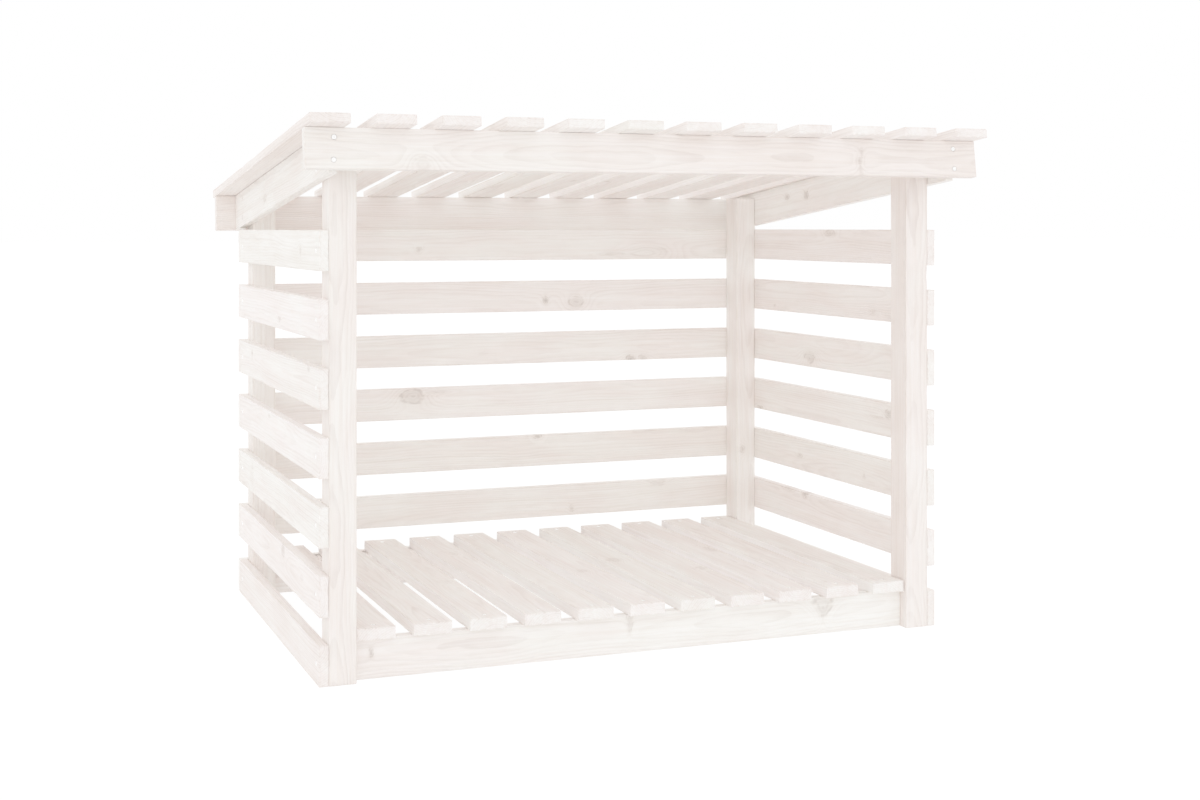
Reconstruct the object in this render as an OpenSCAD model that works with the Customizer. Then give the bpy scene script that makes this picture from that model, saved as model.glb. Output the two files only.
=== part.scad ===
// Open-fronted log store of pine boards: slatted walls and floor on four posts, under a slatted lean-to roof.
// Millimetres. The ground is Z = 0, the open front faces -Y, and the middle of the plan is the origin.

/* [Body] */
// Width over the outer faces of the side slats
body_w = 1012; // [700:1:1400]
// Depth from the front face of the front posts to the rear face of the back posts
body_d = 568; // [400:1:900]
// Side of the square posts
post_side = 40; // [34:1:60]
// Rounding of the posts' long edges
post_round = 1; // [0.5:0.5:6]
// Gap between the posts' tops and the roof slats above them
post_top_gap = 6; // [0.5:0.5:12]

/* [Boards] */
// Width of every board but the rafters and the back beam
board_w = 57; // [45:1:70]
// Thickness of every board but the floor slats
board_t = 14; // [10:0.5:20]

/* [Walls] */
// Number of slats in each wall
wall_slats = 7; // [4:1:10]
// Gap between neighbouring wall slats
wall_gap = 39; // [20:1:60]

/* [Floor] */
// Thickness of the floor slats
floor_t = 18; // [10:0.5:25]
// Widest gap between neighbouring floor slats
floor_gap_max = 28; // [15:1:40]
// Gap between the outer floor slats and the posts beside them
floor_side_gap = 1; // [0.5:0.5:5]
// Set-back of the floor slats' ends from the posts' front and rear faces
floor_setback = 4; // [0:0.5:10]
// Set-back of the floor rails' faces from the floor slats' ends
rail_setback = 11; // [0:0.5:20]
// Height of the floor rails' lower edges above the ground
rail_lift = 0.5; // [0:0.5:30]

/* [Roof] */
// Slope of the roof, falling to the back
roof_pitch = 6.8; // [3:0.1:10]
// Width of the rafters and the back beam
rafter_w = 61; // [45:1:80]
// Height of the rafters' lower edges above the wall tops, at the back posts' rear faces
rafter_gap = 4; // [3:0.5:40]
// Widest gap between neighbouring roof slats
roof_gap_max = 37; // [20:1:60]
// How far the roof stands out past the side slats
roof_side_over = 34; // [10:1:100]
// How far the roof's front edge stands out past the front posts
roof_front_over = 84; // [60:1:150]
// How far the roof's back edge stands out past the back slats
roof_back_over = 64; // [45:1:150]
// Overhang of the roof slats past the front beam, along the slope
beam_front_over = 32; // [10:1:50]
// Overhang of the roof slats past the back beam, along the slope
beam_back_over = 16; // [5:1:30]

/* [Hidden] */
// Plan: the roof is the widest and deepest part, and its middle is the origin
roof_w = body_w + 2 * roof_side_over;
roof_d = roof_front_over + body_d + board_t + roof_back_over;
front_y = roof_front_over - roof_d / 2;
back_y = front_y + body_d;
post_x = body_w / 2 - board_t;
clear_w = 2 * (post_x - post_side);

// Walls
wall_pitch = board_w + wall_gap;
wall_top = wall_slats * board_w + (wall_slats - 1) * wall_gap;

// Floor: as many slats as keep the gaps between them small enough, spread evenly between the posts
floor_w = clear_w - 2 * floor_side_gap;
floor_slats = ceil((floor_w + floor_gap_max) / (board_w + floor_gap_max));
floor_pitch = (floor_w - board_w) / (floor_slats - 1);
floor_run = body_d - 2 * floor_setback;
floor_z = rail_lift + board_w;
rail_inset = floor_setback + rail_setback;

// Roof: the slats lie on the beams and the rafters, whose top edges lie in one sloping plane
roof_slats = ceil((roof_w + roof_gap_max) / (board_w + roof_gap_max));
slat_pitch = (roof_w - board_w) / (roof_slats - 1);
roof_len = (roof_d - board_t * sin(roof_pitch)) / cos(roof_pitch);
roof_y = board_t * sin(roof_pitch) - roof_d / 2;
rafter_drop = board_t + rafter_w;
roof_z = wall_top + rafter_gap + rafter_drop / cos(roof_pitch) + (back_y - roof_y) * tan(roof_pitch);
rafter_start = beam_front_over + board_t;
rafter_end = roof_len - beam_back_over - board_t;

// Height of the roof slats' lower faces above the ground, at a place on plan
function under_roof(y) = roof_z - board_t / cos(roof_pitch) - (y - roof_y) * tan(roof_pitch);

// Colour of thin white wash on pine
wash = [0.93, 0.91, 0.89];
$fn = 48;

// Post with rounded long edges, standing on the ground with its near left corner at x, y
module post(x, y, height) {
    flat = post_side - 2 * post_round;
    color(wash)
    translate([x, y, 0])
    linear_extrude(height)
    union() {
        translate([post_round, 0])
            square([flat, post_side]);
        translate([0, post_round])
            square([post_side, flat]);
        for (cx = [post_round, post_side - post_round], cy = [post_round, post_side - post_round])
            translate([cx, cy])
                circle(post_round);
    }
}

// Board with its lowest corner at a point
module board(corner, size) {
    color(wash)
    translate(corner)
        cube(size);
}

// Places its children in the plane of the roof: Y runs down the slope from the front edge, Z = 0 is the top face
module on_roof() {
    translate([0, roof_y, roof_z])
    rotate([-roof_pitch, 0, 0])
        children();
}

module front_post(x) {
    post(x, front_y, under_roof(front_y + post_side) - post_top_gap);
}

module back_post(x) {
    post(x, back_y - post_side, under_roof(back_y) - post_top_gap);
}

module front_left_post() {
    front_post(-post_x);
}

module front_right_post() {
    front_post(post_x - post_side);
}

module back_left_post() {
    back_post(-post_x);
}

module back_right_post() {
    back_post(post_x - post_side);
}

// Slats on the outer faces of one side's posts, the lowest on the ground
module side_slats(x) {
    for (i = [0 : wall_slats - 1])
        board([x, front_y, i * wall_pitch], [board_t, body_d, board_w]);
}

module left_wall_slats() {
    side_slats(-body_w / 2);
}

module right_wall_slats() {
    side_slats(post_x);
}

// Slats on the rear faces of the back posts, covering the side slats' rear ends
module back_wall_slats() {
    for (i = [0 : wall_slats - 1])
        board([-body_w / 2, back_y, i * wall_pitch], [body_w, board_t, board_w]);
}

// Rail on edge between two posts, under the floor slats' ends
module floor_rail(y) {
    board([-clear_w / 2, y, rail_lift], [clear_w, board_t, board_w]);
}

module front_floor_rail() {
    floor_rail(front_y + rail_inset);
}

module back_floor_rail() {
    floor_rail(back_y - rail_inset - board_t);
}

// Floor slat, counted from the left
module floor_slat(i) {
    left = (i - 1) * floor_pitch - floor_w / 2;
    board([left, front_y + floor_setback, floor_z], [board_w, floor_run, floor_t]);
}

// Rafter on the outer faces of one side's posts, between the two beams
module rafter(x) {
    on_roof()
        board([x, rafter_start, -rafter_drop], [board_t, rafter_end - rafter_start, rafter_w]);
}

module left_rafter() {
    rafter(-body_w / 2);
}

module right_rafter() {
    rafter(post_x);
}

// Beam on edge across the rafters' ends, square to the slope
module roof_beam(along, width) {
    on_roof()
        board([-roof_w / 2, along, -board_t - width], [roof_w, board_t, width]);
}

module front_roof_beam() {
    roof_beam(beam_front_over, board_w);
}

module back_roof_beam() {
    roof_beam(rafter_end, rafter_w);
}

// Roof slat, counted from the left
module roof_slat(i) {
    left = (i - 1) * slat_pitch - roof_w / 2;
    on_roof()
        board([left, 0, -board_t], [board_w, roof_len, board_t]);
}

front_left_post();
front_right_post();
back_left_post();
back_right_post();
left_wall_slats();
right_wall_slats();
back_wall_slats();
front_floor_rail();
back_floor_rail();
for (i = [1 : floor_slats])
    floor_slat(i);
left_rafter();
right_rafter();
front_roof_beam();
back_roof_beam();
for (i = [1 : roof_slats])
    roof_slat(i);
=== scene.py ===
"""Looks of an open-fronted log store of white-washed pine.

Every timber is a modelled board or post with worn edges and countersunk screws. Its finish comes from shared
shader groups for knots, growth rings, wash and edges.
"""
import math
import random

import bpy
import numpy as np
from mathutils import Matrix, Vector


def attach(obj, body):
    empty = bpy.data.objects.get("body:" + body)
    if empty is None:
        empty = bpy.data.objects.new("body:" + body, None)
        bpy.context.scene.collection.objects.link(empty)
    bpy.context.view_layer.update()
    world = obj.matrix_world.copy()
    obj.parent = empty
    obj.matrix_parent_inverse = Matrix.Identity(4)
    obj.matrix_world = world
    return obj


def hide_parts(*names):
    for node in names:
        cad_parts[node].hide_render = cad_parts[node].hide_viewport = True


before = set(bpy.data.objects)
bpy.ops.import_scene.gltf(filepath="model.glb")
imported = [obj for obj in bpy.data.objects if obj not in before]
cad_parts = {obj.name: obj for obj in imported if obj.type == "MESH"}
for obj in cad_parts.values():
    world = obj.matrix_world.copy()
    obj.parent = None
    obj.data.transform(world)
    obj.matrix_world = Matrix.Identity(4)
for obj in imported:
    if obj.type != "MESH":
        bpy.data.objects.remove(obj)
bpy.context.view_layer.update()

MM = 0.001
RIGHT = Vector((1, 0, 0))
BACK = Vector((0, 1, 0))
UP = Vector((0, 0, 1))

# Timbers
BOARD_ROUND = 0.6 * MM
POST_ROUND = 1.0 * MM
CORNER_STEPS = 4
END_ARRIS = 0.7 * MM
STEP_ALONG = 11 * MM
STEP_ACROSS = 11 * MM
SHARP_TIMBER = math.radians(38)

# Wear of the timbers: lengths of its waves in metres, depths, and dents in the edges
WAVE_SPREAD = (0.8, 1.25)
PLANING_WAVES = (0.21, 0.083, 0.37)
PLANING_SKEW = 0.3
PLANING_DEPTH = 0.14 * MM
CUP_DEPTH = 0.30 * MM
EDGE_WAVES = (0.31, 0.12, 0.047)
EDGE_WEAR = 0.35 * MM
DENT_COUNTS = (1, 2, 3)
DENT_SIZES = (0.3, 1)
DENT_ROUND = 2.2 * MM
DENT_REACH = 11 * MM

# Screws, with the angle of a hole's first point in degrees
SCREW_CELL = 6.2 * MM
SCREW_PAIR_OFFSET = 16 * MM
SCREW_WANDER = 1.0 * MM
HOLE_SIDES = 16
HOLE_START = 225
HOLE_RADIUS = 4.2 * MM
HOLE_DEPTH = 2.4 * MM
HOLE_FOOT = 0.6
HEAD_RADIUS = 3.6 * MM
HEAD_SINK = 0.12 * MM
HEAD_BEVEL = 0.25 * MM
RECESS_REACH = 1.4 * MM
RECESS_HALF = 0.36 * MM
RECESS_DEPTH = 0.5 * MM
RECESS_FOOT = 0.6
SHARP_SCREW = math.radians(30)

# Wood of a timber: where its tree's heart lay, across in board widths and outward in millimetres
HEART_ACROSS = 0.6
HEART_DEPTHS = (14, 46)
SEEDS = (0, 10)

# Knots by chance: how many, how far out in board lengths and widths, radius in millimetres, and form
POST_KNOT_COUNTS = (0, 0, 1)
BOARD_KNOT_COUNTS = (0, 0, 1, 1, 2)
KNOT_ALONG = 0.46
KNOT_ACROSS = 0.42
KNOT_RADII = (3, 7)
KNOT_DRAWS = (0.9, 1.5)
KNOT_TAPERS = (-0.3, 0.3)
KNOT_TONES = (0.35, 0.7)
KNOT_SLOTS = 4
PLAIN_KNOT = (0, 0, 0, 1, 0, 0)

# Knots seen in the photograph: place along and up from the middle of the board's face and radius, in
# millimetres, then how far it is drawn out along the board, how much wider its top is, and how dark it is.
# Along runs to the right or to the back, and up runs to the left on the floor.
SEEN_KNOTS = {
    "back_wall_slat_7": [
        (-178, -8, 5, 1.1, 0, 0.6),
        (205, -18, 8, 2.8, 0, 0.5),
        (283, -15, 18, 1.9, 0, 0.35),
    ],
    "back_wall_slat_6": [(71, -8, 6, 0.85, 0, 1.0), (133, -12, 12, 1.25, 0, 0.8)],
    "back_wall_slat_5": [(247, -26, 8, 1.15, 0, 1.0), (272, -25, 7, 1.2, 0, 0.6)],
    "back_wall_slat_4": [(-190, 13, 16, 1.3, 0, 0.9), (-143, 20, 7, 3.0, 0, 0.45)],
    "back_wall_slat_3": [(55, 26, 6, 1.3, 0, 0.8)],
    "back_wall_slat_2": [(124, -16, 5, 0.85, 0, 0.5), (304, 21, 8, 2.0, 0, 0.5)],
    "front_floor_rail": [
        (309, 12, 15, 0.95, 0.55, 0.9),
        (-25, 17, 9, 0.55, 0.3, 0.6),
        (-427, 8, 4.6, 0.7, 0, 0.9),
    ],
    "front_roof_beam": [
        (-374, -19, 11, 1.2, 0, 0.35),
        (332, 7, 5.5, 0.8, 0.3, 0.45),
        (327, -5, 4.5, 1.1, 0, 0.5),
        (328, -20, 5.5, 0.85, -0.3, 0.45),
    ],
    "right_wall_slat_7": [(-11, 23, 9, 1.6, 0, 0.7)],
    "right_wall_slat_5": [(54, -12, 12, 1.25, 0.2, 0.85)],
    "right_wall_slat_4": [
        (-182, 10, 8.5, 1.1, 0, 0.8),
        (-150, 1, 6, 2.6, 0, 0.4),
        (225, -26, 6, 1.6, 0, 0.8),
    ],
    "right_wall_slat_2": [(69, 26, 6, 1.2, 0, 0.9), (123, 27, 6, 2.2, 0, 0.5)],
    "right_rafter": [(65, 2, 7, 0.9, 0, 1.0), (129, 7, 6, 1.1, 0, 0.9)],
    "left_rafter": [(77, -8, 8, 1.5, 0, 0.6)],
    "left_wall_slat_3": [(181, 2, 14, 0.8, 0, 0.35)],
    "left_wall_slat_2": [(-56, 18, 9, 1.0, 0, 0.75)],
    "floor_slat_3": [(-57, -13, 9, 1.2, 0, 0.3)],
    "floor_slat_4": [(130, -4, 8, 1.3, 0, 0.4)],
    "floor_slat_6": [(-57, 9, 9, 1.0, 0, 0.5)],
    "floor_slat_7": [(0, 8, 12, 0.9, 0, 0.6)],
    "floor_slat_8": [(-101, -18, 9, 1.1, 0, 0.6)],
    "floor_slat_9": [(19, -15, 11, 1.5, 0, 0.5)],
}

# Washes seen in the photograph: tint from pink, 0, to cream, 1, and cover past the usual, each at the start
# and the end of the board. Every other timber has one tint and one change of cover, by chance.
SEEN_WASHES = {
    "front_roof_beam": ((0.7, -0.4), (0.0, -0.11)),
    "back_roof_beam": ((0.0, 0.6), (-0.05, 0.08)),
    "right_rafter": ((0.6, 0.6), (0.045, 0.045)),
    "front_floor_rail": ((0.3, 1.2), (-0.025, 0.035)),
    "left_wall_slat_7": ((1.3, 1.3), (0.01, 0.01)),
    "left_wall_slat_1": ((0.1, 0.1), (-0.055, -0.055)),
    "back_right_post": ((0.4, 0.4), (0.045, 0.045)),
    "front_right_post": ((0.1, 0.1), (-0.03, -0.03)),
    "roof_slat_1": ((0.1, 0.1), (-0.06, -0.06)),
    "right_wall_slat_7": ((0.0, 0.0), (-0.01, -0.01)),
}
USUAL_TINTS = (0, 0.7)
USUAL_COVERS = (-0.02, 0.02)

# Colours of the wood and the wash
WASH_WHITE = (0.955, 0.941, 0.935, 1)
EARLY_WOOD = (0.66, 0.53, 0.41, 1)
LATE_WOOD = (0.47, 0.335, 0.23, 1)
KNOT_WOOD = (0.30, 0.215, 0.155, 1)
PINK_WASH = (1.0, 0.980, 0.976, 1)
CREAM_WASH = (0.987, 0.990, 0.974, 1)

# Finish of each kind of timber: width of a growth ring, cover of the wash, painted light on the narrow sides
# (more wash cover there, lightening the floor boards' sides in the shaded gaps between them), how far from an
# edge the wash is rubbed, and height of the grain
FINISHES = {
    "posts": (2.6 * MM, 0.845, 0.0, 3.5 * MM, 0.8 * MM),
    "wall_boards": (3.2 * MM, 0.898, 0.0, 3.0 * MM, 0.8 * MM),
    "floor_boards": (3.4 * MM, 0.89, 0.07, 3.0 * MM, 0.9 * MM),
    "roof_boards": (3.2 * MM, 0.88, 0.0, 3.0 * MM, 0.8 * MM),
}
WASH_GLOSS = 0.25

# How far a timber's seed moves its noise along and across
SEED_ALONG = 37.1
SEED_ACROSS = 11.7

# Knots in the finish. Distances are in radii from the knot's middle. A pair holds the values of a small and
# a large knot, or the limits of a soft step.
SMALL_KNOT = 0.005
LARGE_KNOT = 0.013
LEAST_RADIUS = 0.00002
FURTHEST = 1000000.0
NARROWEST = 0.3
BULGE_BASE = 2.718
BULGE_FALL = -0.30
BULGE_HEIGHT = 1.25
BULGE_POWER = 3.0
KNOT_NOISE = (0.9, 0.9, 0)
KNOT_WANDER = 0.8
KNOT_DARK = (0.9, 0.58)
KNOT_SOLID = (0.35, 0.70)
KNOT_END = 1.15
EYE_RINGS = 14.0
EYE_DEPTH = 0.10
CORE_END = 0.5
CORE_DEPTH = 0.25
HALO = (2.4, 0.9)
HALO_DEPTH = 0.16
RIM_INSIDE = (0.66, 0.96)
RIM_OUTSIDE = (1.34, 1.02)
RIM_BREAKS = (0.38, 0.58)
RIM_LEAST = 0.2

# Growth rings in the finish: scales of noise, reaches in metres, and limits in parts of a year
HEART_NOISE = (2.6, 0, 0)
HEART_DETAIL = 1.0
HEART_WANDER_ACROSS = 0.030
HEART_WANDER_OUT = 0.036
RING_NOISE = (14, 26, 26)
RING_WANDER = 0.004
YEARS_TO_SEED = 3.7
LATE_RISE = (0.30, 0.86)
LATE_FALL = (1.0, 0.93)
FAINT_YEAR = 0.45

# Wash in the finish: change of seed, scale along, across and outward, detail, roughness and limits
WASH_NOISES = {
    "Streaks": (0.0, (5, 210, 210), 3.0, 0.6, (0.28, 0.72)),
    "Patches": (2.3, (7, 24, 24), 2.0, 0.5, (0.3, 0.7)),
    "Fibres": (5.9, (40, 900, 900), 2.0, 0.6, (0.45, 0.75)),
}

# Edges in the finish: noise of the rubbing, and distances from an edge or an end in metres
RUBBED_NOISE = (22, 90, 90)
RUBBED_DETAIL = 3.0
RUBBED_ROUGHNESS = 0.6
RUBBED = (0.38, 0.66)
FULL_WEAR = 0.0004
SAWN_END = (0.0006, 0.0002)
NARROW_SIDE = (0.0012, 0.0004)

# Changes of the wash's cover: how much by each mask, and the value of the mask that changes nothing
COVER_CHANGES = {
    "Late Wood": (-0.045, 0.25),
    "Streaks": (0.095, 0.5),
    "Patches": (0.080, 0.5),
    "Fibres": (-0.050, 0.3),
    "Knot": (-0.27, 0.0),
    "Rim": (-0.19, 0.0),
    "Wear": (-0.10, 0.0),
    "Sawn End": (0.018, 0.0),
}
TINT_PATCHES = 0.5
TINT_LIMITS = (0.2, 1.2)
WASH_ROUGHNESS = 0.66
ROUGHNESS_CHANGES = {"Streaks": -0.08, "Fibres": 0.10, "Sawn End": 0.12}
LATE_RELIEF = 0.16
FIBRE_RELIEF = -0.10

# Zinc of the screws
ZINC_DULL = (0.97, 0.97, 0.97, 1)
ZINC_BRIGHT = (1.0, 1.0, 0.99, 1)
ZINC_SCALE = 900
ZINC_DETAIL = 3
ZINC_LIMITS = (0.3, 0.7)
ZINC_ROUGHNESS = (0.18, 0.34)

# Camera, as pixels of a 1200 x 800 image, and where it stands
IMAGE_W = 1200
IMAGE_H = 800
FOCAL_PIXELS = 1482.1
MIDDLE_U = 436.6
MIDDLE_V = 227.3
SENSOR_W = 36
CAMERA_PLACE = (-1.0039, -2.2760, 0.6370)
CAMERA_TURN = math.radians(-18.545)
CAMERA_REACH = 200

# Light
WHITE = (1, 1, 1, 1)
LIGHT_BOUNCES = 8
SKY_SEEN = 1
SKY_LEVEL = 1.02
LAMP_SPREAD = math.radians(50)
LAMPS = {
    "front_lamp": ((-0.35, -1.0, 0.18), 0.095),
    "left_lamp": ((-1.0, -0.25, 0.20), 0.06),
    "right_lamp": ((1.0, -0.1, 0.25), 0.05),
    "back_lamp": ((0.15, 1.0, 0.25), 0.05),
}
FLOOR_HALF = 60
FLOOR_BOUNCE = (0.32, 0.32, 0.32, 1)
FLOOR_LIGHT = 0.66
FLOOR_SHADE = (0.14, 0.14, 0.14, 1)
FLOOR_GLOW = 0.90

# Kinds of sockets of the shader groups
FLOAT = "NodeSocketFloat"
VECTOR = "NodeSocketVector"
COLOUR = "NodeSocketColor"


class Timber:
    """One board or post: where it lies, its size, its screws and its own source of chance."""

    def __init__(self, name, node, slot, points, along, outward):
        self.name = name
        self.node = node
        self.slot = slot
        self.along = along
        self.outward = outward
        self.across = outward.cross(along)
        axes = (self.along, self.across, self.outward)
        reach = [points @ np.array(axis) for axis in axes]
        self.size = [float(r.max() - r.min()) for r in reach]
        middle = [float(r.max() + r.min()) / 2 for r in reach]
        self.centre = along * middle[0] + self.across * middle[1] + outward * middle[2]
        self.round = POST_ROUND if slot == "posts" else BOARD_ROUND
        self.screws = []
        self.chance = random.Random(name)

    def place(self):
        """Matrix from along, across and outward to the frame of the store."""
        turn = Matrix((self.along, self.across, self.outward)).transposed()
        return Matrix.Translation(self.centre) @ turn.to_4x4()


def solids(node):
    """Corner points of each separate solid of a CAD node, the lowest solid first."""
    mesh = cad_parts[node].data
    places = {}
    corner = [places.setdefault(tuple(round(c, 6) for c in v.co), len(places)) for v in mesh.vertices]
    joined = list(range(len(places)))

    def first_of(i):
        while joined[i] != i:
            i = joined[i]
        return i

    for face in mesh.polygons:
        for vertex in face.vertices[1:]:
            joined[first_of(corner[vertex])] = first_of(corner[face.vertices[0]])
    groups = {}
    for place, i in places.items():
        groups.setdefault(first_of(i), []).append(place)
    return sorted((np.array(g) for g in groups.values()), key=lambda g: g[:, 2].min())


def crossing(timber, support):
    """How far along a timber's middle line a support's middle line passes it."""
    gap = support.centre - timber.centre
    lean = timber.along.dot(support.along)
    return (gap.dot(timber.along) - gap.dot(support.along) * lean) / (1 - lean * lean)


def lay_timbers():
    """Every timber of the store, from the CAD nodes, with the screws that hold it to its supports."""
    roof_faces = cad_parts["roof_slat_1"].data.polygons
    roof_up = max((face.normal for face in roof_faces), key=lambda n: n.z).copy()
    down_roof = roof_up.cross(RIGHT)
    left_posts = ["front_left_post", "back_left_post"]
    right_posts = ["front_right_post", "back_right_post"]
    back_posts = ["back_left_post", "back_right_post"]
    rails = ["front_floor_rail", "back_floor_rail"]
    rafters = ["left_rafter", "right_rafter"]
    beams = ["front_roof_beam", "back_roof_beam"]
    plan = [("posts", f"front_{side}_post", UP, -BACK, [], 0) for side in ("left", "right")]
    plan += [("posts", f"back_{side}_post", UP, BACK, [], 0) for side in ("left", "right")]
    plan += [
        ("wall_boards", "left_wall_slats", BACK, -RIGHT, left_posts, 1),
        ("wall_boards", "right_wall_slats", BACK, RIGHT, right_posts, 1),
        ("wall_boards", "back_wall_slats", RIGHT, BACK, back_posts, 1),
        ("floor_boards", "front_floor_rail", RIGHT, -BACK, [], 0),
        ("floor_boards", "back_floor_rail", RIGHT, BACK, [], 0),
        ("roof_boards", "left_rafter", down_roof, -RIGHT, left_posts, 2),
        ("roof_boards", "right_rafter", down_roof, RIGHT, right_posts, 2),
        ("roof_boards", "front_roof_beam", RIGHT, -down_roof, rafters, 2),
        ("roof_boards", "back_roof_beam", RIGHT, down_roof, rafters, 2),
    ]
    floor_slats = sum(name.startswith("floor_slat_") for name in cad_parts)
    roof_slats = sum(name.startswith("roof_slat_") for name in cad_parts)
    for i in range(floor_slats):
        plan.append(("floor_boards", f"floor_slat_{i + 1}", BACK, UP, rails, 1))
    for i in range(roof_slats):
        plan.append(("roof_boards", f"roof_slat_{i + 1}", down_roof, roof_up, beams, 1))

    timbers = {}
    fixings = []
    for slot, node, along, outward, supports, rows in plan:
        found = solids(node)
        for i, points in enumerate(found):
            name = node if len(found) == 1 else f"{node[:-1]}_{i + 1}"
            timbers[name] = Timber(name, node, slot, points, along, outward)
            fixings.append((timbers[name], supports, rows))
    for timber, supports, rows in fixings:
        offsets = [0] if rows == 1 else [-SCREW_PAIR_OFFSET, SCREW_PAIR_OFFSET]
        for support in supports:
            timber.screws += [(crossing(timber, timbers[support]), offset) for offset in offsets]
    return list(timbers.values())


def lines(low, high, step, screws):
    """Evenly spaced places from low to high, with one on each side of a screw's cell and none inside it."""
    count = max(1, round((high - low) / step))
    places = [low + (high - low) * i / count for i in range(count + 1)]
    for screw in sorted(set(screws)):
        near = SCREW_CELL + step / 4
        places = [p for p in places if abs(p - screw) > near or p in (low, high)]
        places += [screw - SCREW_CELL, screw + SCREW_CELL]
    return sorted(places)


def section(timber, across):
    """Points round a timber's cross-section, outward face first: place, direction, and 1 at an edge."""
    half_w = timber.size[1] / 2
    half_t = timber.size[2] / 2
    rounding = timber.round
    flat_w = half_w - rounding
    flat_t = half_t - rounding
    wide = [(w, 1 if w in (across[0], across[-1]) else 0) for w in across]
    narrow = [(flat_t, 1), (0, 0), (-flat_t, 1)]
    points = [(w, half_t, 0, 1, edge) for w, edge in reversed(wide)]

    def corner(w, t, start):
        for i in range(1, CORNER_STEPS):
            angle = math.radians(start + 90 * i / CORNER_STEPS)
            side = math.cos(angle)
            out = math.sin(angle)
            points.append((w + rounding * side, t + rounding * out, side, out, 1))

    corner(-flat_w, flat_t, 90)
    points += [(-half_w, t, -1, 0, edge) for t, edge in narrow]
    corner(-flat_w, -flat_t, 180)
    points += [(w, -half_t, 0, -1, edge) for w, edge in wide]
    corner(flat_w, -flat_t, 270)
    points += [(half_w, t, 1, 0, edge) for t, edge in reversed(narrow)]
    corner(flat_w, flat_t, 0)
    return np.array(points)


def ripple(chance, lengths):
    """Smooth seeded wave from 0 to 1 along a line, of a few wavelengths."""
    waves = [(length * chance.uniform(*WAVE_SPREAD), chance.uniform(0, 2 * math.pi)) for length in lengths]

    def height(x):
        total = sum(math.sin(2 * math.pi * x / length + start) for length, start in waves)
        return 0.5 + 0.5 * total / len(waves)

    return height


def wear_of(timber):
    """Two seeded functions of a point: how far it is planed in, and how much further its edge is rounded."""
    chance = timber.chance
    length, width = timber.size[:2]
    planing = ripple(chance, PLANING_WAVES)
    edges = [ripple(chance, EDGE_WAVES) for corner in range(4)]
    cup = chance.uniform(0, CUP_DEPTH) if timber.slot != "posts" else 0
    hollow_outside = chance.random() < 0.5
    dents = []
    for dent in range(chance.choice(DENT_COUNTS)):
        place = chance.uniform(-length / 2, length / 2)
        dents.append((place, chance.randrange(4), chance.uniform(*DENT_SIZES)))

    def planed(along, w, out):
        depth = PLANING_DEPTH * planing(along + PLANING_SKEW * w)
        if out:
            bow = (2 * w / width) ** 2
            depth += cup * (1 - bow if (out > 0) == hollow_outside else bow)
        return depth

    def rounded(along, w, t):
        corner = (w > 0) + 2 * (t > 0)
        growth = EDGE_WEAR * edges[corner](along) ** 2
        for place, dented, size in dents:
            if dented == corner:
                growth += DENT_ROUND * size * math.exp(-((along - place) / (DENT_REACH * size)) ** 2)
        return growth

    return planed, rounded


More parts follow.
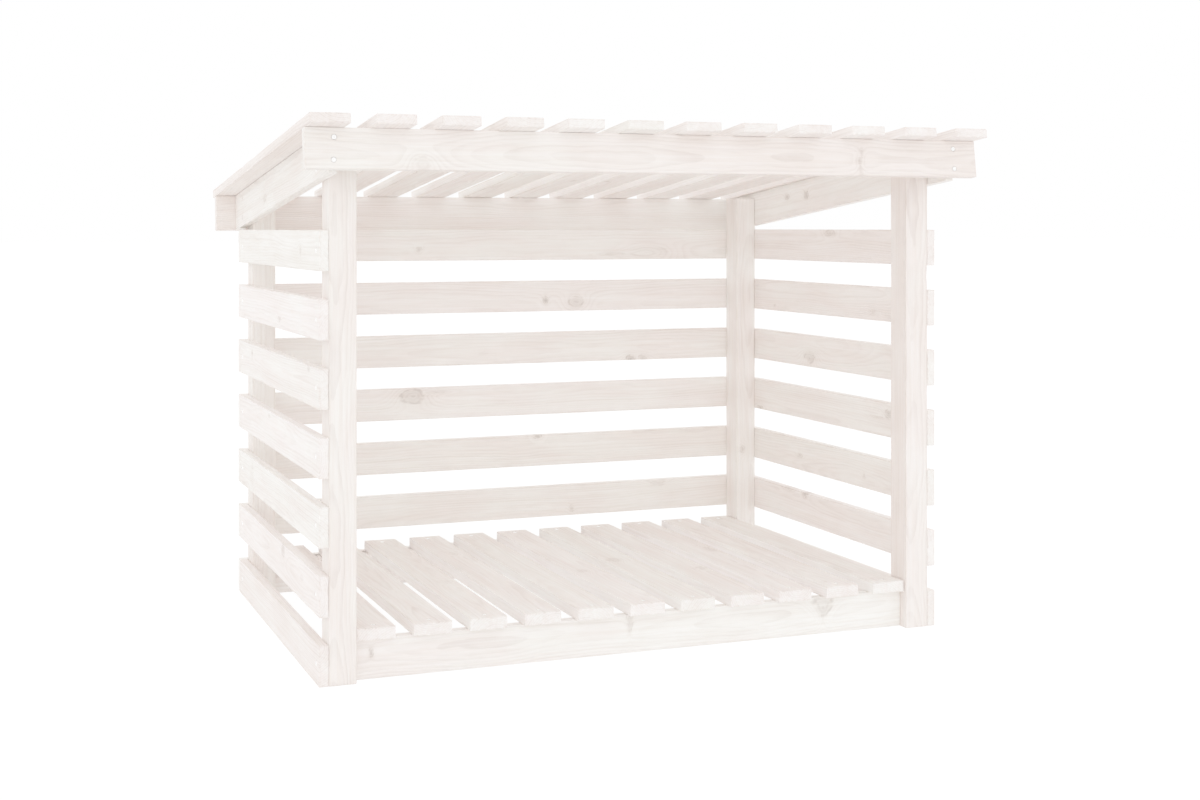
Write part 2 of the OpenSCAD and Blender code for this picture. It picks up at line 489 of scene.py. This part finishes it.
def timber_mesh(timber):
    """Mesh of one timber with eased edges, worn faces and countersunk holes, and its screws' places."""
    length, width, thick = timber.size
    flat_w = width / 2 - timber.round
    along = lines(END_ARRIS - length / 2, length / 2 - END_ARRIS, STEP_ALONG, [s[0] for s in timber.screws])
    across = lines(-flat_w, flat_w, STEP_ACROSS, [s[1] for s in timber.screws])
    ring = section(timber, across)
    sides = len(ring)
    planed, rounded = wear_of(timber)
    points = []
    plain = []
    faces = []

    def add(point, plain_point):
        points.append(point)
        plain.append(plain_point)
        return len(points) - 1

    end_insets = (1 - 2 * END_ARRIS / width, 1 - 2 * END_ARRIS / thick)
    places = [-length / 2] + along + [length / 2]
    for i, a in enumerate(places):
        inset_w, inset_t = end_insets if i in (0, len(places) - 1) else (1, 1)
        station = min(max(a, along[0]), along[-1])
        for w, t, side, out, edge in ring:
            depth = planed(station, w, out)
            growth = rounded(station, w, t) if edge else 0
            worn_w = w - side * depth - math.copysign(growth * (1 - abs(side)), w)
            worn_t = t - out * depth - math.copysign(growth * (1 - abs(out)), t)
            add((a, worn_w * inset_w, worn_t * inset_t), (a, w, t))

    cells = {}
    for screw, (a, w) in enumerate(timber.screws):
        row = min(range(len(places)), key=lambda i: abs(places[i] - (a - SCREW_CELL)))
        column = min(range(len(across)), key=lambda j: abs(ring[j][0] - (w + SCREW_CELL)))
        cells[row, column] = screw

    def circle(a, w, t, radius):
        corners = []
        for m in range(HOLE_SIDES):
            angle = math.radians(HOLE_START + 360 * m / HOLE_SIDES)
            point = (a + radius * math.cos(angle), w + radius * math.sin(angle), t)
            corners.append(add(point, point))
        return corners

    def sink_hole(quad, a, w, top):
        rim = circle(a, w, top, HOLE_RADIUS)
        foot = circle(a, w, top - HOLE_DEPTH, HOLE_RADIUS * HOLE_FOOT)
        corners = [quad[1], quad[2], quad[3], quad[0]]
        quarter = HOLE_SIDES // 4
        for c in range(4):
            arc = [rim[m % HOLE_SIDES] for m in range(c * quarter, (c + 1) * quarter + 1)]
            faces.append([corners[c], corners[(c + 1) % 4]] + arc[::-1])
        for m in range(HOLE_SIDES):
            n = (m + 1) % HOLE_SIDES
            faces.append([rim[m], rim[n], foot[n], foot[m]])
        faces.append(foot)

    heads = []
    for i in range(len(places) - 1):
        for k in range(sides):
            after = (k + 1) % sides
            quad = [i * sides + k, i * sides + after, (i + 1) * sides + after, (i + 1) * sides + k]
            if (i, k) not in cells:
                faces.append(quad)
                continue
            a, w = timber.screws[cells[i, k]]
            a += timber.chance.uniform(-SCREW_WANDER, SCREW_WANDER)
            w += timber.chance.uniform(-SCREW_WANDER, SCREW_WANDER)
            top = sum(points[v][2] for v in quad) / 4
            sink_hole(quad, a, w, top)
            heads.append((a, w, top - HEAD_SINK))
    faces.append(list(range(sides))[::-1])
    faces.append([(len(places) - 1) * sides + k for k in range(sides)])

    mesh = smooth_mesh(timber.name, points, faces, SHARP_TIMBER)
    write_values(mesh, "board_point", plain)
    return mesh, heads


def smooth_mesh(name, points, faces, sharp):
    """Mesh with smooth shading except across edges sharper than an angle."""
    mesh = bpy.data.meshes.new(name)
    mesh.from_pydata(points, [], faces)
    mesh.polygons.foreach_set("use_smooth", [True] * len(mesh.polygons))
    mesh.set_sharp_from_angle(angle=sharp)
    return mesh


def write_values(mesh, label, values):
    """Stores one vector at every vertex of a mesh."""
    layer = mesh.attributes.new(label, "FLOAT_VECTOR", "POINT")
    layer.data.foreach_set("vector", np.array(values, dtype=np.float32).ravel())


def grow_timber(timber, mesh):
    """Stores what the finish needs: the timber's size, its wash, where its tree's heart lay, and its knots."""
    chance = timber.chance
    length, width = timber.size[:2]
    count = len(mesh.vertices)
    heart_across = chance.uniform(-HEART_ACROSS, HEART_ACROSS) * width
    heart_outward = chance.choice((-1, 1)) * chance.uniform(*HEART_DEPTHS) * MM
    seed = chance.uniform(*SEEDS)
    up = math.copysign(1, timber.across.z)
    knots = []
    for along, above, radius, draw, taper, tone in SEEN_KNOTS.get(timber.name, []):
        knots.append((along * MM, up * above * MM, radius * MM, draw, up * taper, tone))
    wanted = chance.choice(POST_KNOT_COUNTS if timber.slot == "posts" else BOARD_KNOT_COUNTS)
    for i in range(wanted):
        along = chance.uniform(-KNOT_ALONG, KNOT_ALONG) * length
        across = chance.uniform(-KNOT_ACROSS, KNOT_ACROSS) * width
        form = (chance.uniform(*KNOT_DRAWS), chance.uniform(*KNOT_TAPERS), chance.uniform(*KNOT_TONES))
        if timber.name not in SEEN_KNOTS:
            knots.append((along, across, chance.uniform(*KNOT_RADII) * MM, *form))
    knots += [PLAIN_KNOT] * (KNOT_SLOTS - len(knots))
    tint = chance.uniform(*USUAL_TINTS)
    cover = chance.uniform(*USUAL_COVERS)
    tints, covers = SEEN_WASHES.get(timber.name, ((tint, tint), (cover, cover)))
    ends = (-length / 2, length / 2)
    places = [value.vector[0] for value in mesh.attributes["board_point"].data]
    washes = [(np.interp(place, ends, tints), np.interp(place, ends, covers), 0) for place in places]
    write_values(mesh, "wash", washes)
    write_values(mesh, "board_size", [timber.size] * count)
    write_values(mesh, "tree", [(heart_across, heart_outward, seed)] * count)
    for i, knot in enumerate(knots):
        write_values(mesh, f"knot_{i + 1}", [knot[:3]] * count)
        write_values(mesh, f"form_{i + 1}", [knot[3:]] * count)


def screw_heads(name, places):
    """Countersunk screw heads with cross recesses, as one mesh. A place's Z is the axis of its screw."""
    chance = random.Random(name)
    points = []
    faces = []
    arm_points = [
        (RECESS_REACH, -RECESS_HALF),
        (RECESS_REACH, 0),
        (RECESS_REACH, RECESS_HALF),
        (RECESS_HALF, RECESS_HALF),
    ]

    def circle(at, radius, height):
        start = len(points)
        for m in range(HOLE_SIDES):
            angle = 2 * math.pi * m / HOLE_SIDES
            points.append(at @ Vector((radius * math.cos(angle), radius * math.sin(angle), height)))
        return list(range(start, len(points)))

    def cross(at, scale, height):
        start = len(points)
        for arm in range(4):
            turn = Matrix.Rotation(arm * math.pi / 2, 3, "Z")
            for x, y in arm_points:
                points.append(at @ (turn @ Vector((x * scale, y * scale, height))))
        return list(range(start, len(points)))

    def wall(upper, lower):
        for m in range(len(upper)):
            n = (m + 1) % len(upper)
            faces.append([upper[n], upper[m], lower[m], lower[n]])

    for place in places:
        at = place @ Matrix.Rotation(chance.uniform(0, math.pi / 2), 4, "Z")
        face_rim = circle(at, HEAD_RADIUS - HEAD_BEVEL, 0)
        outer_rim = circle(at, HEAD_RADIUS, -HEAD_BEVEL)
        foot = circle(at, HEAD_RADIUS * HOLE_FOOT, HEAD_SINK - HOLE_DEPTH)
        recess_rim = cross(at, 1, 0)
        recess_foot = cross(at, RECESS_FOOT, -RECESS_DEPTH)
        wall(face_rim, outer_rim)
        wall(outer_rim, foot)
        wall(recess_rim[::-1], recess_foot[::-1])
        faces.append(foot[::-1])
        faces.append(recess_foot)
        quarter = HOLE_SIDES // 4
        for q in range(4):
            arc = [face_rim[m % HOLE_SIDES] for m in range(q * quarter, (q + 1) * quarter + 1)]
            inner = [recess_rim[(4 * q + step) % len(recess_rim)] for step in (5, 4, 3, 2, 1)]
            faces.append(arc + inner)
    return smooth_mesh(name, points, faces, SHARP_SCREW)


def add_piece(name, mesh, material):
    """Adds a piece of the store that rides on its one body."""
    mesh.materials.append(material)
    piece = bpy.data.objects.new(name, mesh)
    bpy.context.scene.collection.objects.link(piece)
    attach(piece, "root")
    return piece


def feed(tree, socket, value):
    """Links a socket's value into a socket, or sets it to a plain value."""
    if isinstance(value, bpy.types.NodeSocket):
        tree.links.new(value, socket)
    else:
        socket.default_value = value


def calc(tree, operation, *values):
    """Math node."""
    step = tree.nodes.new("ShaderNodeMath")
    step.operation = operation
    for socket, value in zip(step.inputs, values):
        feed(tree, socket, value)
    return step.outputs[0]


def squares(tree, x, y):
    """Sum of the squares of two numbers."""
    return calc(tree, "MULTIPLY_ADD", x, x, calc(tree, "MULTIPLY", y, y))


def nudged(tree, value, noise, reach):
    """A number moved to either side by a noise from 0 to 1."""
    return calc(tree, "MULTIPLY_ADD", calc(tree, "SUBTRACT", noise, 0.5), reach, value)


def blend(tree, low, high, amount):
    """Mix of two colours."""
    step = tree.nodes.new("ShaderNodeMix")
    step.data_type = "RGBA"
    feed(tree, step.inputs["Factor"], amount)
    feed(tree, step.inputs[6], low)
    feed(tree, step.inputs[7], high)
    return step.outputs[2]


def either(tree, first, second, amount):
    """The first vector where the amount is 0, and the second where it is 1."""
    step = tree.nodes.new("ShaderNodeMix")
    step.data_type = "VECTOR"
    feed(tree, step.inputs["Factor"], amount)
    feed(tree, step.inputs[4], first)
    feed(tree, step.inputs[5], second)
    return step.outputs[1]


def tinted(tree, colour, tint):
    """Product of two colours."""
    step = tree.nodes.new("ShaderNodeMix")
    step.data_type = "RGBA"
    step.blend_type = "MULTIPLY"
    step.inputs["Factor"].default_value = 1
    feed(tree, step.inputs[6], colour)
    feed(tree, step.inputs[7], tint)
    return step.outputs[2]


def ease(tree, value, limits, results=(0.0, 1.0)):
    """Smooth step of a value between two limits, from one result to the other."""
    step = tree.nodes.new("ShaderNodeMapRange")
    step.interpolation_type = "SMOOTHSTEP"
    labels = ("Value", "From Min", "From Max", "To Min", "To Max")
    for label, given in zip(labels, (value, *limits, *results)):
        feed(tree, step.inputs[label], given)
    return step.outputs[0]


def split(tree, vector):
    """The three numbers of a vector."""
    step = tree.nodes.new("ShaderNodeSeparateXYZ")
    feed(tree, step.inputs[0], vector)
    return step.outputs[0], step.outputs[1], step.outputs[2]


def join(tree, x, y, z):
    """Vector of three numbers."""
    step = tree.nodes.new("ShaderNodeCombineXYZ")
    for socket, value in zip(step.inputs, (x, y, z)):
        feed(tree, socket, value)
    return step.outputs[0]


def cloud(tree, point, seed, stretch, detail=2.0, rough=0.5):
    """Seeded noise over a board, with its own scale along, across and outward: the value and the colour."""
    along, across, outward = split(tree, point)
    spot = join(
        tree,
        calc(tree, "MULTIPLY_ADD", along, stretch[0], calc(tree, "MULTIPLY", seed, SEED_ALONG)),
        calc(tree, "MULTIPLY_ADD", across, stretch[1], calc(tree, "MULTIPLY", seed, SEED_ACROSS)),
        calc(tree, "MULTIPLY", outward, stretch[2]),
    )
    noise = tree.nodes.new("ShaderNodeTexNoise")
    feed(tree, noise.inputs["Vector"], spot)
    noise.inputs["Scale"].default_value = 1
    noise.inputs["Detail"].default_value = detail
    noise.inputs["Roughness"].default_value = rough
    return noise.outputs[0], noise.outputs[1]


def chance_of(tree, number):
    """Random value from 0 to 1 that stays the same for one number."""
    step = tree.nodes.new("ShaderNodeTexWhiteNoise")
    step.noise_dimensions = "1D"
    feed(tree, step.inputs["W"], number)
    return step.outputs["Value"]


def new_group(name, inputs, outputs):
    """Empty shader group with named sockets: the group, what comes in and what goes out."""
    tree = bpy.data.node_groups.new(name, "ShaderNodeTree")
    for label, kind in inputs:
        tree.interface.new_socket(label, in_out="INPUT", socket_type=kind)
    for label, kind in outputs:
        tree.interface.new_socket(label, in_out="OUTPUT", socket_type=kind)
    entry = tree.nodes.new("NodeGroupInput")
    result = tree.nodes.new("NodeGroupOutput")
    return tree, entry.outputs, result.inputs


def make_knots():
    """Shader group: the knot nearest to a point, its rim, and how far knots push the growth rings aside."""
    inputs = [("Board Point", VECTOR), ("Tree", VECTOR)]
    for i in range(KNOT_SLOTS):
        inputs += [(f"Knot {i + 1}", VECTOR), (f"Form {i + 1}", VECTOR)]
    outputs = [("Knot", FLOAT), ("Rim", FLOAT), ("Bulge", FLOAT)]
    tree, given, result = new_group("Pine knots", inputs, outputs)
    along, across = split(tree, given["Board Point"])[:2]
    seed = split(tree, given["Tree"])[2]

    nearest = (0, 0, 0)
    mark = 0.0
    least = FURTHEST
    bulge = 0.0
    for i in range(KNOT_SLOTS):
        knot_along, knot_across, radius = split(tree, given[f"Knot {i + 1}"])
        draw, taper, tone = split(tree, given[f"Form {i + 1}"])
        safe = calc(tree, "MAXIMUM", radius, LEAST_RADIUS)
        off_along = calc(tree, "SUBTRACT", along, knot_along)
        off_along = calc(tree, "DIVIDE", off_along, calc(tree, "MULTIPLY", safe, draw))
        off_across = calc(tree, "SUBTRACT", across, knot_across)
        off_across = calc(tree, "DIVIDE", off_across, calc(tree, "DIVIDE", safe, draw))
        spread = calc(tree, "MAXIMUM", calc(tree, "MULTIPLY_ADD", taper, off_across, 1.0), NARROWEST)
        off_along = calc(tree, "DIVIDE", off_along, spread)
        square = squares(tree, off_along, off_across)
        fall = calc(tree, "POWER", BULGE_BASE, calc(tree, "MULTIPLY", square, BULGE_FALL))
        upright = calc(tree, "POWER", calc(tree, "MINIMUM", draw, 1.0), BULGE_POWER)
        swell = calc(tree, "MULTIPLY", radius, upright)
        bulge = calc(tree, "MULTIPLY_ADD", calc(tree, "MULTIPLY", fall, BULGE_HEIGHT), swell, bulge)
        closer = calc(tree, "LESS_THAN", square, least)
        nearest = either(tree, nearest, join(tree, off_along, off_across, radius), closer)
        mark = calc(tree, "MULTIPLY_ADD", calc(tree, "SUBTRACT", tone, mark), closer, mark)
        least = calc(tree, "MINIMUM", square, least)

    near_along, near_across, radius = split(tree, nearest)
    uneven = cloud(tree, join(tree, near_along, near_across, 0.0), seed, KNOT_NOISE)[1]
    push_along, push_across, fade = split(tree, uneven)
    near_along = nudged(tree, near_along, push_along, KNOT_WANDER)
    near_across = nudged(tree, near_across, push_across, KNOT_WANDER)
    far = calc(tree, "SQRT", squares(tree, near_along, near_across))
    sizes = (SMALL_KNOT, LARGE_KNOT)
    inside = ease(tree, radius, sizes, KNOT_DARK)
    wave = calc(tree, "SINE", calc(tree, "MULTIPLY", far, EYE_RINGS))
    eyes = calc(tree, "MULTIPLY_ADD", wave, EYE_DEPTH, inside)
    core = ease(tree, far, (CORE_END, 0.0), (0.0, CORE_DEPTH))
    solid = ease(tree, far, (KNOT_END, ease(tree, radius, sizes, KNOT_SOLID)))
    knot = calc(tree, "MULTIPLY", solid, calc(tree, "ADD", eyes, core))
    halo = calc(tree, "MULTIPLY", ease(tree, far, HALO), HALO_DEPTH)
    rim = calc(tree, "MULTIPLY", ease(tree, far, RIM_INSIDE), ease(tree, far, RIM_OUTSIDE))
    rim = calc(tree, "MULTIPLY", rim, ease(tree, fade, RIM_BREAKS, (RIM_LEAST, 1.0)))
    feed(tree, result["Knot"], calc(tree, "MULTIPLY", calc(tree, "MAXIMUM", knot, halo), mark))
    feed(tree, result["Rim"], calc(tree, "MULTIPLY", rim, mark))
    feed(tree, result["Bulge"], bulge)
    return tree


def make_rings():
    """Shader group: late wood of the growth rings round the tree's heart, on faces, edges and ends alike."""
    tree, given, result = new_group(
        "Growth rings",
        [("Board Point", VECTOR), ("Tree", VECTOR), ("Bulge", FLOAT), ("Ring Width", FLOAT)],
        [("Late Wood", FLOAT)],
    )
    point = given["Board Point"]
    across, outward = split(tree, point)[1:]
    heart_across, heart_outward, seed = split(tree, given["Tree"])
    wander = cloud(tree, point, seed, HEART_NOISE, HEART_DETAIL)[1]
    wander_across, wander_out = split(tree, wander)[:2]
    uneven = cloud(tree, point, seed, RING_NOISE)[0]
    off_across = calc(tree, "SUBTRACT", across, heart_across)
    off_across = nudged(tree, off_across, wander_across, HEART_WANDER_ACROSS)
    off_out = calc(tree, "SUBTRACT", outward, heart_outward)
    off_out = nudged(tree, off_out, wander_out, HEART_WANDER_OUT)
    far = calc(tree, "ADD", calc(tree, "SQRT", squares(tree, off_across, off_out)), given["Bulge"])
    far = nudged(tree, far, uneven, RING_WANDER)
    years = calc(tree, "DIVIDE", far, given["Ring Width"])
    years = calc(tree, "ADD", years, calc(tree, "MULTIPLY", seed, YEARS_TO_SEED))
    part = calc(tree, "FRACT", years)
    strength = ease(tree, chance_of(tree, calc(tree, "FLOOR", years)), (0, 1), (FAINT_YEAR, 1.0))
    late = calc(tree, "MULTIPLY", ease(tree, part, LATE_RISE), ease(tree, part, LATE_FALL))
    feed(tree, result["Late Wood"], calc(tree, "MULTIPLY", late, strength))
    return tree


def make_wash():
    """Shader group: how thin the wash lies: brush streaks, patches, and the fibres that it leaves open."""
    tree, given, result = new_group(
        "Wash coat",
        [("Board Point", VECTOR), ("Tree", VECTOR)],
        [(label, FLOAT) for label in WASH_NOISES],
    )
    seed = split(tree, given["Tree"])[2]
    for label, (change, stretch, detail, rough, limits) in WASH_NOISES.items():
        own_seed = calc(tree, "ADD", seed, change)
        noise = cloud(tree, given["Board Point"], own_seed, stretch, detail, rough)[0]
        feed(tree, result[label], ease(tree, noise, limits))
    return tree


def make_edges():
    """Shader group: wash rubbed thin along a board's edges, and masks of its sawn ends and its narrow sides;
    the narrow-side mask carries painted light onto the shaded sides of the floor boards.
    """
    tree, given, result = new_group(
        "Worn edges",
        [("Board Point", VECTOR), ("Board Size", VECTOR), ("Tree", VECTOR), ("Reach", FLOAT)],
        [("Wear", FLOAT), ("Sawn End", FLOAT), ("Narrow Side", FLOAT)],
    )
    seed = split(tree, given["Tree"])[2]
    inside = []
    for place, size in zip(split(tree, given["Board Point"]), split(tree, given["Board Size"])):
        half = calc(tree, "MULTIPLY", size, 0.5)
        inside.append(calc(tree, "SUBTRACT", half, calc(tree, "ABSOLUTE", place)))
    end, edge, face = inside
    nearer = calc(tree, "MINIMUM", edge, face)
    further = calc(tree, "MAXIMUM", edge, face)
    to_edge = calc(tree, "MAXIMUM", nearer, calc(tree, "MINIMUM", further, end))
    rubbed = cloud(tree, given["Board Point"], seed, RUBBED_NOISE, RUBBED_DETAIL, RUBBED_ROUGHNESS)[0]
    close = ease(tree, to_edge, (given["Reach"], FULL_WEAR))
    feed(tree, result["Wear"], calc(tree, "MULTIPLY", close, ease(tree, rubbed, RUBBED)))
    feed(tree, result["Sawn End"], ease(tree, end, SAWN_END))
    feed(tree, result["Narrow Side"], ease(tree, edge, NARROW_SIDE))
    return tree


def make_finish():
    """Shader group: colour, roughness and relief of white wash over pine."""
    masks = [(label, FLOAT) for label in (*COVER_CHANGES, "Narrow Side")]
    tree, given, result = new_group(
        "Washed pine",
        masks + [("Wash", VECTOR), ("Cover", FLOAT), ("Side Painted Light", FLOAT)],
        [("Colour", COLOUR), ("Roughness", FLOAT), ("Relief", FLOAT)],
    )
    pick, extra = split(tree, given["Wash"])[:2]
    wood = blend(tree, EARLY_WOOD, LATE_WOOD, given["Late Wood"])
    wood = blend(tree, wood, KNOT_WOOD, calc(tree, "MAXIMUM", given["Knot"], given["Rim"]))
    cover = calc(tree, "ADD", given["Cover"], extra)
    # Painted light: more wash on the narrow sides lightens the sides of the floor boards, standing in for
    # light in the shaded gaps between them.
    cover = calc(tree, "MULTIPLY_ADD", given["Narrow Side"], given["Side Painted Light"], cover)
    for label, (amount, middle) in COVER_CHANGES.items():
        cover = calc(tree, "MULTIPLY_ADD", calc(tree, "SUBTRACT", given[label], middle), amount, cover)
    patchy = calc(tree, "MULTIPLY_ADD", given["Patches"], TINT_PATCHES, pick)
    tint = blend(tree, PINK_WASH, CREAM_WASH, ease(tree, patchy, TINT_LIMITS))
    colour = tinted(tree, blend(tree, wood, WASH_WHITE, cover), tint)
    rough = WASH_ROUGHNESS
    for label, amount in ROUGHNESS_CHANGES.items():
        rough = calc(tree, "MULTIPLY_ADD", given[label], amount, rough)
    relief = calc(tree, "MULTIPLY", given["Late Wood"], LATE_RELIEF)
    relief = calc(tree, "MULTIPLY_ADD", given["Fibres"], FIBRE_RELIEF, relief)
    feed(tree, result["Colour"], colour)
    feed(tree, result["Roughness"], rough)
    feed(tree, result["Relief"], relief)
    return tree


def new_material(name):
    """Material with one shader: the material, its node tree and the shader."""
    material = bpy.data.materials.new(name)
    material.use_nodes = True
    tree = material.node_tree
    tree.nodes.clear()
    shader = tree.nodes.new("ShaderNodeBsdfPrincipled")
    output = tree.nodes.new("ShaderNodeOutputMaterial")
    tree.links.new(shader.outputs[0], output.inputs[0])
    return material, tree, shader


def place_group(tree, group, values):
    """Places a shader group in a tree and feeds its named inputs."""
    step = tree.nodes.new("ShaderNodeGroup")
    step.node_tree = group
    for label, value in values.items():
        feed(tree, step.inputs[label], value)
    return step.outputs


def read_value(tree, label):
    """Vector stored at the vertices of a timber."""
    step = tree.nodes.new("ShaderNodeAttribute")
    step.attribute_name = label
    return step.outputs["Vector"]


def washed_pine(name, groups, ring_width, cover, side_painted_light, edge_reach, relief):
    """White-washed pine for one kind of timber."""
    material, tree, shader = new_material(name)
    board = {"Board Point": read_value(tree, "board_point"), "Tree": read_value(tree, "tree")}
    size = read_value(tree, "board_size")
    knot_values = {}
    for i in range(KNOT_SLOTS):
        knot_values[f"Knot {i + 1}"] = read_value(tree, f"knot_{i + 1}")
        knot_values[f"Form {i + 1}"] = read_value(tree, f"form_{i + 1}")
    knots = place_group(tree, groups["knots"], {**board, **knot_values})
    rings = place_group(tree, groups["rings"], {**board, "Bulge": knots["Bulge"], "Ring Width": ring_width})
    wash = place_group(tree, groups["wash"], board)
    edges = place_group(tree, groups["edges"], {**board, "Board Size": size, "Reach": edge_reach})
    coat = {"Wash": read_value(tree, "wash"), "Cover": cover, "Side Painted Light": side_painted_light}
    for outputs in (knots, rings, wash, edges):
        coat.update({socket.name: socket for socket in outputs if socket.name != "Bulge"})
    finish = place_group(tree, groups["finish"], coat)
    bump = tree.nodes.new("ShaderNodeBump")
    bump.inputs["Strength"].default_value = 1
    bump.inputs["Distance"].default_value = relief
    tree.links.new(finish["Relief"], bump.inputs["Height"])
    tree.links.new(finish["Colour"], shader.inputs["Base Color"])
    tree.links.new(finish["Roughness"], shader.inputs["Roughness"])
    tree.links.new(bump.outputs[0], shader.inputs["Normal"])
    shader.inputs["Specular IOR Level"].default_value = WASH_GLOSS
    return material


def zinc_screw():
    """Bright zinc of the screws, a little clouded."""
    material, tree, shader = new_material("zinc_screw")
    place = tree.nodes.new("ShaderNodeTexCoord")
    noise = tree.nodes.new("ShaderNodeTexNoise")
    noise.inputs["Scale"].default_value = ZINC_SCALE
    noise.inputs["Detail"].default_value = ZINC_DETAIL
    tree.links.new(place.outputs["Object"], noise.inputs["Vector"])
    spots = noise.outputs[0]
    tree.links.new(blend(tree, ZINC_DULL, ZINC_BRIGHT, spots), shader.inputs["Base Color"])
    tree.links.new(ease(tree, spots, ZINC_LIMITS, ZINC_ROUGHNESS), shader.inputs["Roughness"])
    shader.inputs["Metallic"].default_value = 1
    return material


def seen_directly(tree):
    """1 for rays that come straight from the camera, a reflection or a glass."""
    path = tree.nodes.new("ShaderNodeLightPath")
    seen = calc(tree, "MAXIMUM", path.outputs["Is Camera Ray"], path.outputs["Is Glossy Ray"])
    return calc(tree, "MAXIMUM", seen, path.outputs["Is Transmission Ray"])


def show_apart(tree, lighting, seen, output):
    """Shows one shader to rays that see it directly, and lights the store with the other."""
    choice = tree.nodes.new("ShaderNodeMixShader")
    tree.links.new(seen_directly(tree), choice.inputs[0])
    tree.links.new(lighting.outputs[0], choice.inputs[1])
    tree.links.new(seen.outputs[0], choice.inputs[2])
    tree.links.new(choice.outputs[0], output.inputs[0])


def white_sky(tree, level):
    """Even white light from all round."""
    shader = tree.nodes.new("ShaderNodeBackground")
    shader.inputs["Color"].default_value = WHITE
    shader.inputs["Strength"].default_value = level
    return shader


def glowing(tree, colour, glow):
    """Matt shader with an even white glow of its own."""
    matt = tree.nodes.new("ShaderNodeBsdfDiffuse")
    light = tree.nodes.new("ShaderNodeEmission")
    both = tree.nodes.new("ShaderNodeAddShader")
    matt.inputs["Color"].default_value = colour
    light.inputs["Color"].default_value = WHITE
    light.inputs["Strength"].default_value = glow
    tree.links.new(matt.outputs[0], both.inputs[0])
    tree.links.new(light.outputs[0], both.inputs[1])
    return both


def set_room(scene):
    """White surroundings, and a white floor that keeps a soft shadow."""
    world = bpy.data.worlds.new("white_room")
    scene.world = world
    world.use_nodes = True
    tree = world.node_tree
    tree.nodes.clear()
    lighting = white_sky(tree, SKY_LEVEL)
    seen = white_sky(tree, SKY_SEEN)
    show_apart(tree, lighting, seen, tree.nodes.new("ShaderNodeOutputWorld"))

    corners = [(x * FLOOR_HALF, y * FLOOR_HALF, 0) for x, y in ((-1, -1), (1, -1), (1, 1), (-1, 1))]
    mesh = bpy.data.meshes.new("floor")
    mesh.from_pydata(corners, [], [(0, 1, 2, 3)])
    floor = bpy.data.objects.new("floor", mesh)
    scene.collection.objects.link(floor)
    material = bpy.data.materials.new("white_floor")
    material.use_nodes = True
    mesh.materials.append(material)
    tree = material.node_tree
    tree.nodes.clear()
    lighting = glowing(tree, FLOOR_BOUNCE, FLOOR_LIGHT)
    seen = glowing(tree, FLOOR_SHADE, FLOOR_GLOW)
    show_apart(tree, lighting, seen, tree.nodes.new("ShaderNodeOutputMaterial"))


def set_lamps(scene):
    """Four wide, weak lamps round the store."""
    scene.cycles.diffuse_bounces = LIGHT_BOUNCES
    for name, (source, strength) in LAMPS.items():
        lamp = bpy.data.lights.new(name, "SUN")
        lamp.angle = LAMP_SPREAD
        lamp.energy = strength
        stand = bpy.data.objects.new(name, lamp)
        stand.rotation_euler = Vector(source).to_track_quat("Z", "Y").to_euler()
        scene.collection.objects.link(stand)


def set_camera(scene):
    """Level camera with a shifted lens, where the photograph was taken."""
    scene.view_settings.view_transform = "Standard"
    lens = bpy.data.cameras.new("camera")
    lens.sensor_fit = "HORIZONTAL"
    lens.sensor_width = SENSOR_W
    lens.lens = FOCAL_PIXELS * SENSOR_W / IMAGE_W
    lens.shift_x = (IMAGE_W / 2 - MIDDLE_U) / IMAGE_W
    lens.shift_y = (MIDDLE_V - IMAGE_H / 2) / IMAGE_W
    lens.clip_end = CAMERA_REACH
    camera = bpy.data.objects.new("camera", lens)
    camera.location = CAMERA_PLACE
    camera.rotation_euler = (math.radians(90), 0, CAMERA_TURN)
    scene.collection.objects.link(camera)
    scene.camera = camera


def build_store():
    """All timbers and their screws."""
    groups = {
        "knots": make_knots(),
        "rings": make_rings(),
        "wash": make_wash(),
        "edges": make_edges(),
        "finish": make_finish(),
    }
    finishes = {}
    for slot, values in FINISHES.items():
        finishes[slot] = washed_pine(f"washed_{slot}", groups, *values)
    zinc = zinc_screw()
    screws = {}
    for timber in lay_timbers():
        mesh, heads = timber_mesh(timber)
        grow_timber(timber, mesh)
        mesh.transform(timber.place())
        ending = "timber" if timber.slot == "posts" else "board"
        piece = add_piece(f"{timber.name}_{ending}", mesh, finishes[timber.slot])
        evener = piece.modifiers.new("even_shading", "WEIGHTED_NORMAL")
        evener.keep_sharp = True
        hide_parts(timber.node)
        family = timber.node.rstrip("0123456789_")
        for a, w, t in heads:
            screws.setdefault(family, []).append(timber.place() @ Matrix.Translation((a, w, t)))
    for family, places in screws.items():
        name = f"{family}_screws"
        add_piece(name, screw_heads(name, places), zinc)


set_room(bpy.context.scene)
set_lamps(bpy.context.scene)
set_camera(bpy.context.scene)
build_store()
